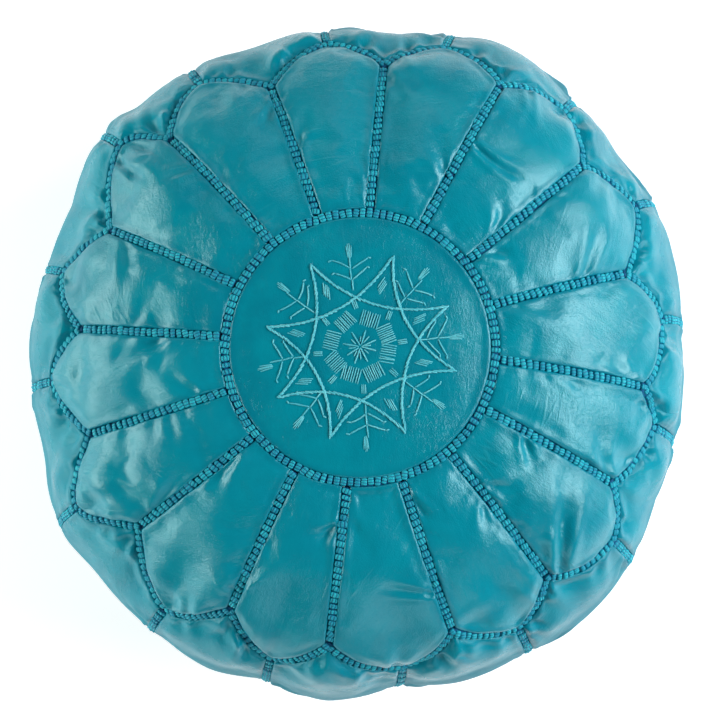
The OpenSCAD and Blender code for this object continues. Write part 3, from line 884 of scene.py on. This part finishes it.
def joint_lines(first_column, first_row, rows, length, clear, count):
    """A line down every joint between panels, clear of the seams at its top and its bottom."""
    row = np.linspace(first_row + rows * clear[0] / length, first_row + rows * (1 - clear[1] / length), count)
    return [skin_line(row, np.full(count, first_column + float(k * PANEL_COLUMNS))) for k in range(PETALS)]


PETAL_JOINTS = joint_lines(0, 0, PETAL_ROWS, S_VALLEY - S_RING, PETAL_JOINT_CLEAR, 60)
SIDE_JOINTS = joint_lines(HALF_COLUMNS, PETAL_ROWS, SIDE_ROWS, S_BASE - S_TIP, SIDE_JOINT_CLEAR, 80)
# Each seam, as its lines on the skin and what sets it apart from the others
SEAMS = (
    ("seam_medallion_ring", round_line(0, 480), {}),
    ("seam_petal_joints", PETAL_JOINTS, {"pitch": 4.8 * MM, "slant": 10}),
    ("seam_scalloped_edge", round_line(PETAL_ROWS, 960), {"size": BEAD_SIZE * (1, 0.9, 1), "slant": 14}),
    ("seam_side_joints", SIDE_JOINTS, {"pitch": 5.4 * MM}),
    ("seam_base_ring", round_line(BASE_ROW, 640), {"sink": 1.6 * MM}),
)

# ---------------------------------------------------------------- threads

PLIES = 2
PLY_TURN = 2.6 * MM
THREAD_SIDES = 8


def thread_mesh(line, ups, radius, rng):
    """One laid thread: a tube of twisted plies along a line, thinner where it goes into the leather."""
    count = len(line)
    ahead = unit(np.gradient(line, axis=0))
    side, up = beside_line(ahead, ups)
    around = np.linspace(0, 2 * math.pi, THREAD_SIDES, endpoint=False)
    twist = running_length(line)[:, None] / PLY_TURN * 2 * math.pi / PLIES + rng.uniform(0, math.pi)
    lobes = np.abs(np.cos((around[None] - twist) * PLIES / 2))
    taper = 0.6 + 0.4 * np.sin(np.linspace(0.12, math.pi - 0.12, count)) ** 0.5
    reach = radius * taper[:, None] * (0.76 + 0.28 * lobes)
    points = (line[:, None] + side[:, None] * (np.cos(around) * reach)[..., None]
              + up[:, None] * (np.sin(around) * reach)[..., None])
    # The crest is low on the plies' sides and underneath, where the thread's look paints shade
    crest = (0.3 + 0.7 * lobes) * smooth(-0.15, 0.75, np.sin(around))[None]
    return points.reshape(-1, 3), tube_faces(count, THREAD_SIDES, flip=True), crest.ravel()


def thread_piece(name, threads, seed):
    """Many laid threads as one piece. Each is (line, ups, radius)."""
    rng = np.random.default_rng(seed)
    work = ThreadWork()
    for thread in threads:
        work.keep(*thread_mesh(*thread, rng), tint=rng.uniform(-1, 1))
    return work.piece(name, [EMBROIDERY_LOOK])


def laid_stitch(a, b, radius, place, stations=9, bow=0.0):
    """A stitch between two plan points, on the face that place gives. Its ends go down into the leather."""
    t = np.linspace(0, 1, stations)[:, None]
    a, b = np.asarray(a, float), np.asarray(b, float)
    run = b - a
    aside = np.array([-run[1], run[0]]) / max(np.hypot(*run), 1e-9)
    points, ups = place(a + run * t + aside * bow * np.sin(t * math.pi))
    height = radius * (0.65 - 1.5 * (1 - smooth(0, 0.16, t) * smooth(0, 0.16, 1 - t)))
    return points + ups * height, ups, radius


# ---------------------------------------------------------------- embroidery

STAR_R = 70.6 * MM
# How far each side of the star bows inwards, its stitches, and how far their ends stray to its two edges
STAR_BOW = 14.6 * MM
STAR_STITCHES = 30
SLANT = 0.62 * MM
# The star was drawn by hand: its eight points are not quite even
STAR_POINTS = [math.radians(a) for a in (25, 70, 121, 168, 212, 252, 298, 346)]
# Radii of the thread: in leaves, in patches, in stems, in twigs, in spokes and in the star
LEAF = 0.46 * MM
THIN = 0.5 * MM
STEM = 0.56 * MM
FINE = 0.61 * MM
SPOKE = 0.60 * MM
HEAVY = 0.80 * MM
# A sprig's stem stitches, from and to so many mm out, and how far out and wide its twigs are
STEMS_MM = ((41, 49.5), (49, 57.5), (57, 66.5))
TWIGS_MM = ((49, 12), (57, 13.5))
# The places of its leaf's stitches, side by side
LEAF_MM = (-1.55, -0.5, 0.55, 1.6)
# Stitches side by side: how far out they are, half their length, and their places
CROSSING_MM = (31, 3.5, (-1.25, 0.0, 1.25))
POINT_MM = (47.5, 4.9, (-1.85, -0.6, 0.6, 1.85))
BLOCKS_MM = [(21, 5.8, np.linspace(-6.3, 6.3, count)) for count in (9, 8)]
# The centre's long and short spokes
LONG_MM = (0.6, 12.6)
SHORT_MM = (3.4, 8.2)


def embroidery():
    """The crown's embroidery, stitch by stitch, each a little off true as hand work is."""
    rng = np.random.default_rng(7)
    threads = []

    def add(points_mm, angle, radius=FINE, bow=0.0, wander=0.15):
        plan = turned_plan(np.asarray(points_mm) * MM, angle) + rng.normal(0, wander * MM, (2, 2))
        threads.append(laid_stitch(plan[0], plan[1], radius, on_medallion, bow=bow))

    def patch(layout, turn, angle, lean=0.0, uneven=0.0, wander=0.15):
        """Stitches side by side, leaning over, and turned at random by about so many degrees."""
        out, half, places = layout
        turn = math.radians(rng.normal(0, turn))
        for y in places:
            shift = lean * y + (rng.normal(0, uneven) if uneven else 0)
            ends = turned_plan([[shift - half, y], [shift + half, y]], turn) + [out, 0]
            add(ends, angle, THIN, wander=wander)

    # Star sides: overlapping slanted stitches along each bowed line, from a point to the next but one
    points = [turned_plan([STAR_R + rng.normal(0, 1.0 * MM), 0], a) for a in STAR_POINTS]
    for k in range(8):
        start, end = points[k], points[(k + 2) % 8]
        inward = -unit((start + end) / 2)
        for i in range(STAR_STITCHES):
            t = np.clip([(i - 0.35) / STAR_STITCHES, (i + 1.35) / STAR_STITCHES], 0, 1)[:, None]
            plan = start + (end - start) * t + inward * STAR_BOW * 4 * t * (1 - t)
            plan += inward * SLANT * [[1], [-1]] + rng.normal(0, 0.16 * MM, (2, 2))
            threads.append(laid_stitch(plan[0], plan[1], HEAVY * rng.uniform(0.85, 1.12), on_medallion))
    for k in range(8):
        # A sprig between two points: stem, two pairs of hooked twigs, and a leaf of close stitches
        gap = (STAR_POINTS[(k + 1) % 8] - STAR_POINTS[k]) % (2 * math.pi)
        sprig = STAR_POINTS[k] + gap / 2 + math.radians(rng.normal(0, 1))
        for start, end in STEMS_MM:
            add([[start, 0], [end, 0]], sprig, STEM, wander=0.2)
        for side in (-1, 1):
            for out, wide in TWIGS_MM:
                end = out + rng.uniform(4, 8.5)
                start, bend, tip = [out, 0.5 * side], [end, wide * side], [end - 0.6, (wide + 2) * side]
                add([start, bend], sprig, bow=rng.normal(0, 0.4) * MM, wander=0.25)
                add([bend, tip], sprig)
        lean = sprig + rng.normal(0, 0.03)
        for y in LEAF_MM:
            leaf = [[64.5 + abs(y) * 0.6, y * 0.6], [77.5 - abs(y) * 1.8, y * 1.15]]
            add(leaf, lean, LEAF, wander=0.13)
        # Three stitches inside the crossing
        patch(CROSSING_MM, 8, sprig)
    for k in range(8):
        # From each point of the star inwards: a slanted patch, a square block, and two spokes of the centre
        tip = STAR_POINTS[k]
        patch(POINT_MM, 12, tip, lean=0.9, uneven=0.4)
        patch(BLOCKS_MM[k % 2], 9, tip, wander=0.2)
        for (start, end), angle, radius in ((LONG_MM, tip, SPOKE), (SHORT_MM, tip + math.pi / 8, THIN)):
            add([[start, 0], [end + rng.normal(0, 0.7), 0]], angle, radius, wander=0.35)
    return thread_piece("medallion_embroidery_thread", threads, 8)


# ---------------------------------------------------------------- base and zip

LIP_Z = 7.5 * MM
LIP_HALF = np.array([18, 148]) * MM
TROUGH_HALF = np.array([42, 164]) * MM
SLOT_HALF_W = 6.5 * MM
SLOT_HALF_L = 136 * MM
# The two halves nearly meet past the zip's ends
HALVES_GAP = 0.12 * MM
BASE_GRID = (70, 190)
STITCH_R = 0.36 * MM
TACK_R = 0.42 * MM
BASE_R = float(np.interp(S_BASE, LENGTHS, RADII)) - 0.5 * MM
# Heights from the middle of the base out to the belly
HEEL_RADII = np.concatenate([[0], RADII[BELLY_INDEX:][::-1]])
HEEL_HEIGHTS = np.concatenate([[0], HEIGHTS[BELLY_INDEX:][::-1]])


def base_height(x, y):
    """The underside's height at plan points: flat on the floor, raised over the zip, and up at its rim."""
    heel = np.interp(np.maximum(np.hypot(x, y), FOOT_R), HEEL_RADII, HEEL_HEIGHTS)
    slope = np.minimum((TROUGH_HALF[0] - np.abs(x)) / (TROUGH_HALF[0] - LIP_HALF[0]),
                       (TROUGH_HALF[1] - np.abs(y)) / (TROUGH_HALF[1] - LIP_HALF[1]))
    return np.maximum(heel, LIP_Z * smooth(-0.06, 1.06, slope))


def base_half(name, side):
    """One half of the base: lines from the zip's edge straight out to the rim."""
    rows, cols = BASE_GRID
    y = BASE_R * np.sin(np.linspace(-1, 1, cols) * math.pi / 2 * 0.985)
    beside_zip = smooth(SLOT_HALF_L + 3 * MM, SLOT_HALF_L - 1 * MM, np.abs(y))
    inside = HALVES_GAP + (SLOT_HALF_W - HALVES_GAP) * beside_zip
    outside = np.sqrt(BASE_R ** 2 - y ** 2)
    x = (inside + (outside - inside) * np.linspace(0, 1, rows)[:, None] ** 0.85) * side
    y = np.broadcast_to(y, x.shape)
    z = base_height(x, y)
    place = np.stack([x, y, z], -1)
    rim_distance, slot_distance = BASE_R - np.hypot(x, y), np.abs(x) - inside
    creases = 0.7 * lattice_noise(place, 26 * MM, 50 + side) + 0.35 * lattice_noise(place, 9 * MM, 53 + side)
    creases = (creases + 0.6) * MM * smooth(0, 20 * MM, slot_distance)
    puckers = 0.8 * MM * lattice_noise(place * [1, 1, 0], 8 * MM, 61) * np.exp(-rim_distance / (14 * MM))
    lip = 0.5 * MM * bell(slot_distance, 1.2 * MM)
    up = creases.clip(0) + puckers.clip(0) + lip + 1.6 * MM * (1 - smooth(0, 5 * MM, rim_distance))
    outer = np.stack([x, y, np.maximum(z + up, 0.35 * MM)], -1)
    grids = outer, outer + [0, 0, LEATHER], rim_distance.clip(0), place[..., :2] + 1.4 * (1 + side)
    if side < 0:
        grids = [grid[::-1] for grid in grids]
    outer, inner, distance, uv = grids
    return leather_sheet(name + "_leather", outer, inner, distance, 0.2 * side, uv, LEATHER_LOOK)


def base_point(plan):
    """Points on the base's outer face above plan points, with the way out of it, which is down."""
    z = base_height(plan[..., 0], plan[..., 1])
    points = np.stack([plan[..., 0], plan[..., 1], z], -1)
    return points, np.broadcast_to(np.array([0, 0, -1.0]), points.shape)


def zip_stitches():
    """Two rows of machine stitches on each side of the zip, and one across each end."""
    threads = []
    pitch, end_pitch, half, end_half = 3.2 * MM, 2.5 * MM, 1.45 * MM, 1.1 * MM
    length = SLOT_HALF_L + 3 * MM
    for x in (-15 * MM, -9 * MM, 9 * MM, 15 * MM):
        for k in range(int(2 * length / pitch)):
            y = -length + (k + 0.5) * pitch
            threads.append(laid_stitch([x, y - half], [x, y + half], STITCH_R, base_point, 7))
    for y in (-length, length):
        for k in (-3, -2, -1, 1, 2, 3):
            x = k * end_pitch
            threads.append(laid_stitch([x - end_half, y], [x + end_half, y], STITCH_R, base_point, 7))
    return thread_piece("zip_stitching_thread", threads, 21)


def end_tacks():
    """Close bars of thread past each end of the zip."""
    threads = []
    rng = np.random.default_rng(22)
    count, pitch = 8, 0.68 * MM
    for end in (-1, 1):
        for k in range(count):
            y = end * (SLOT_HALF_L + 8 * MM) + (k - (count - 1) / 2) * pitch
            half = 3.7 * MM + rng.normal(0, 0.12 * MM)
            threads.append(laid_stitch([-half, y], [half, y + rng.normal(0, 0.1 * MM)], TACK_R, base_point))
    return thread_piece("zip_end_tack_threads", threads, 23)


RIB_ALONG = 1.3 * MM
RIB_ACROSS = 1.6 * MM
RIB_DEPTH = 0.12 * MM


def zip_tape(name):
    """One woven tape, in a fine chevron of ribs."""
    low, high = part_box(name)
    x, y = np.meshgrid(np.linspace(low.x, high.x, 21), np.linspace(low.y, high.y, 425))
    chevron = y / RIB_ALONG + np.abs(x - (low.x + high.x) / 2) / RIB_ACROSS
    dip = RIB_DEPTH * (1 - np.abs(chevron % 1 - 0.5) * 2)
    lower, upper = np.stack([x, y, low.z + dip], -1), np.stack([x, y, high.z - dip], -1)
    return make_object(name + "_weave", both_sides(lower, upper), slab_faces(*x.shape), [TAPE_LOOK])


# ---------------------------------------------------------------- inside

LINER_DEPTH = 11.5 * MM
FILLING_DEPTH = 13 * MM
COTTON = 0.8 * MM
ZIP_TOP = 15 * MM
INSIDE_COLUMNS = 160
INSIDE_ROWS = 110
UNDER_ROWS = 46
# Where the rounded side of what lies inside ends and its flat underside begins
INSIDE_SIDE_Z = 18 * MM


def inside_shape(depth, floor_z, lumps, seed):
    """What lies inside the cover at a depth: turned from the profile, and pressed up over the zip."""
    lowest = float(np.interp(INSIDE_SIDE_Z, HEIGHTS[::-1], LENGTHS[::-1]))
    s = np.linspace(4 * MM, lowest, INSIDE_ROWS)[:, None]
    angle = np.linspace(0, 2 * math.pi, INSIDE_COLUMNS, endpoint=False)[None]
    s, angle = np.broadcast_arrays(s, angle)
    side = skin_point(s, angle, -depth)
    hollow = lumps * (0.5 + 0.5 * lattice_noise(side, 45 * MM, seed))
    side = side - skin_normal(s, angle) * hollow[..., None]
    rim = side[-1]
    under = rim * np.linspace(0.97, 0.0, UNDER_ROWS, endpoint=False)[:, None, None]
    x, y = under[..., 0], under[..., 1]
    over_zip = smooth(0, 20 * MM, np.minimum(TROUGH_HALF[0] + 18 * MM - np.abs(x),
                                             TROUGH_HALF[1] + 20 * MM - np.abs(y)))
    edge = smooth(FOOT_R - 4 * MM, float(np.hypot(*rim[0, :2])), np.hypot(x, y))
    under[..., 2] = floor_z + (ZIP_TOP - 0.6 * floor_z) * over_zip + (rim[:, 2] - floor_z) * edge
    return np.concatenate([side, under])


def liner_piece():
    """The cotton bag: two faces, the cloth's thickness apart."""
    outer = inside_shape(LINER_DEPTH, 4.6 * MM, 0.6 * MM, 70)
    down, aside = np.gradient(outer, axis=0), (np.roll(outer, -1, 1) - np.roll(outer, 1, 1)) / 2
    inner = outer - unit(np.cross(down, aside)) * COTTON
    rows, cols = outer.shape[:2]
    faces = tube_faces(rows, cols) + tube_faces(rows, cols, rows * cols, flip=True)
    return make_object("liner_bag_cotton", both_sides(outer, inner), faces, [COTTON_LOOK])


def filling_piece():
    shape = inside_shape(FILLING_DEPTH, 6.2 * MM, 2.5 * MM, 71)
    return make_object("filling_offcuts", shape, tube_faces(*shape.shape[:2]), [WADDING_LOOK])


# ---------------------------------------------------------------- build the pieces


def finish_piece(piece, node):
    """Says which body a piece moves with, and hides the CAD node it stands for."""
    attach(piece, "pouf")
    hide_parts(node)
    return piece


def finish_sheet(piece, node):
    """Finishes a piece of leather or cloth, as finish_piece does."""
    finish_piece(piece, node)


finish_sheet(medallion_piece(), "medallion")
for k in range(PETALS):
    finish_sheet(petal_piece(k), petal_names[k])
    finish_sheet(side_piece(k), side_names[k])
for side, hand in ((-1, "left"), (1, "right")):
    half, tape = f"base_half_{hand}", f"zip_tape_{hand}"
    finish_sheet(base_half(half, side), half)
    finish_sheet(zip_tape(tape), tape)
for seed, (node, lines, settings) in enumerate(SEAMS, 1):
    finish_piece(sewn_seam(node + "_thread", lines, seed, **settings), node)
finish_piece(embroidery(), "medallion_embroidery")
finish_piece(zip_stitches(), "zip_stitching")
finish_piece(end_tacks(), "zip_end_tacks")
finish_sheet(liner_piece(), "liner_bag")
finish_piece(filling_piece(), "filling")

# The zip's metal parts are the CAD's own
for node in ("zip_teeth_left", "zip_teeth_right", "zip_top_stops", "zip_bottom_stop",
             "zip_slider", "zip_pull_tab"):
    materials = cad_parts[node].data.materials
    materials.clear()
    materials.append(BRASS_LOOK)

# ---------------------------------------------------------------- floor, light and camera

FLOOR_HALF = 3.0
LIGHTS_AIM = Vector((0, 0, 0.2))


def pale_floor():
    h = FLOOR_HALF
    corners = [(-h, -h, 0), (h, -h, 0), (h, h, 0), (-h, h, 0)]
    floor = make_object("floor", corners, [[0, 1, 2, 3]], [floor_look()])
    floor.location.z = -0.5 * MM


def softbox(name, azimuth, elevation, distance, size, power, tint=(1, 1, 1)):
    """A rectangular light that faces the middle of the pouf. Azimuth 0 is -Y, the picture's bottom side."""
    light = bpy.data.lights.new(name, "AREA")
    light.shape = "RECTANGLE"
    light.size, light.size_y = size
    light.energy = power
    light.color = tint
    lamp = bpy.data.objects.new(name, light)
    az, el = math.radians(azimuth), math.radians(elevation)
    way = Vector((math.cos(el) * math.sin(az), -math.cos(el) * math.cos(az), math.sin(el)))
    lamp.location = LIGHTS_AIM + distance * way
    lamp.rotation_euler = (-way).to_track_quat("-Z", "Y").to_euler()
    bpy.context.scene.collection.objects.link(lamp)


def camera(elevation, distance, target_z, view_radius):
    """Looks nearly straight down, with +Y at the top of the picture."""
    data = bpy.data.cameras.new("camera")
    el = math.radians(elevation)
    data.sensor_fit = "HORIZONTAL"
    data.angle = 2 * math.atan(view_radius / distance)
    made = bpy.data.objects.new("camera", data)
    target = Vector((0, 0, target_z))
    made.location = target + Vector((0, -distance * math.cos(el), distance * math.sin(el)))
    made.rotation_euler = (math.pi / 2 - el, 0, 0)
    bpy.context.scene.collection.objects.link(made)
    bpy.context.scene.camera = made


pale_floor()
softbox("right_box", azimuth=96, elevation=35, distance=1.9, size=(1.8, 0.9), power=45)
softbox("left_box", azimuth=-88, elevation=17, distance=1.9, size=(2.3, 0.8), power=38,
        tint=(1.0, 0.97, 0.90))
softbox("back_box", azimuth=185, elevation=34, distance=1.9, size=(1.2, 0.6), power=3)
softbox("front_box", azimuth=8, elevation=24, distance=2.1, size=(1.3, 0.6), power=5)
world = bpy.data.worlds.new("studio")
world.use_nodes = True
background = world.node_tree.nodes["Background"]
background.inputs["Color"].default_value = (1, 1, 1, 1)
background.inputs["Strength"].default_value = 0.04
bpy.context.scene.world = world
camera(elevation=86.6, distance=2.0, target_z=0.165, view_radius=0.285)
bpy.context.scene.view_settings.view_transform = "Standard"
